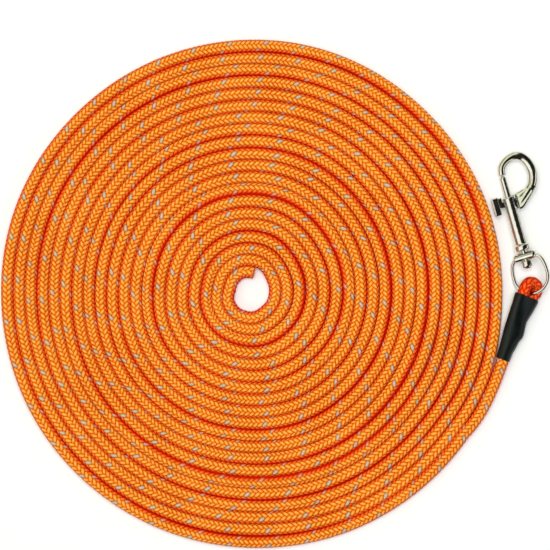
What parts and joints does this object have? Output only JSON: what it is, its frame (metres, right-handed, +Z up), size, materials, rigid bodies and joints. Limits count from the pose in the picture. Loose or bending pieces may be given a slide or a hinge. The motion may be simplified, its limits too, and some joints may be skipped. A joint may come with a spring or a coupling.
{
  "type": "training leash",
  "caption": "Long round braided training line wound in a flat coil, its outer end doubled through the ring of a swivel bolt snap and bound by a shrunk sleeve.",
  "frame": {"origin": "middle of the snap's footprint on the surface that the leash lies on", "axes": "+Y along the snap from its swivel ring to its hook, +Z up off the surface, the coil lies on -X"},
  "size_m": [0.3392, 0.3044, 0.014],
  "materials": {
    "braid": "matt braided polypropylene with a grey reflective tracer",
    "sleeve": "satin heat-shrunk tube",
    "thread": "bonded polyester thread",
    "plating": "bright nickel plate on cast zinc",
    "spring_steel": "drawn spring wire"
  },
  "bodies": {
    "line": {"rope_coil": "braid", "rope_lead": "braid", "rope_eye": "braid", "eye_seam_upper": "thread", "eye_seam_lower": "thread", "heat_shrink_sleeve": "sleeve"},
    "ring": {"swivel_ring": "plating"},
    "snap": {"snap_body": "plating", "swivel_rivet": "plating", "return_spring": "spring_steel"},
    "bolt": {"bolt_pin": "plating", "thumb_lever": "plating"}
  },
  "joints": [
    {"name": "ring_in_eye", "type": "hinge", "parent": "line", "child": "ring", "pos_m": [-0.013, -0.04, 0.005], "axis": [0.9045, -0.3015, 0.3015], "range_deg": [0, 38]},
    {"name": "snap_swivel", "type": "hinge", "parent": "ring", "child": "snap", "pos_m": [-0.00527, -0.01416, 0.00624], "axis": [0, 0.9982, -0.0593], "range_deg": [-150, 150]},
    {"name": "bolt_slide", "type": "slide", "parent": "snap", "child": "bolt", "axis": [0, 0.9982, -0.0593], "range_m": [-0.012, 0], "stiffness_N_per_m": 300, "springref_m": 0.008, "deforming": ["return_spring"]}
  ]
}
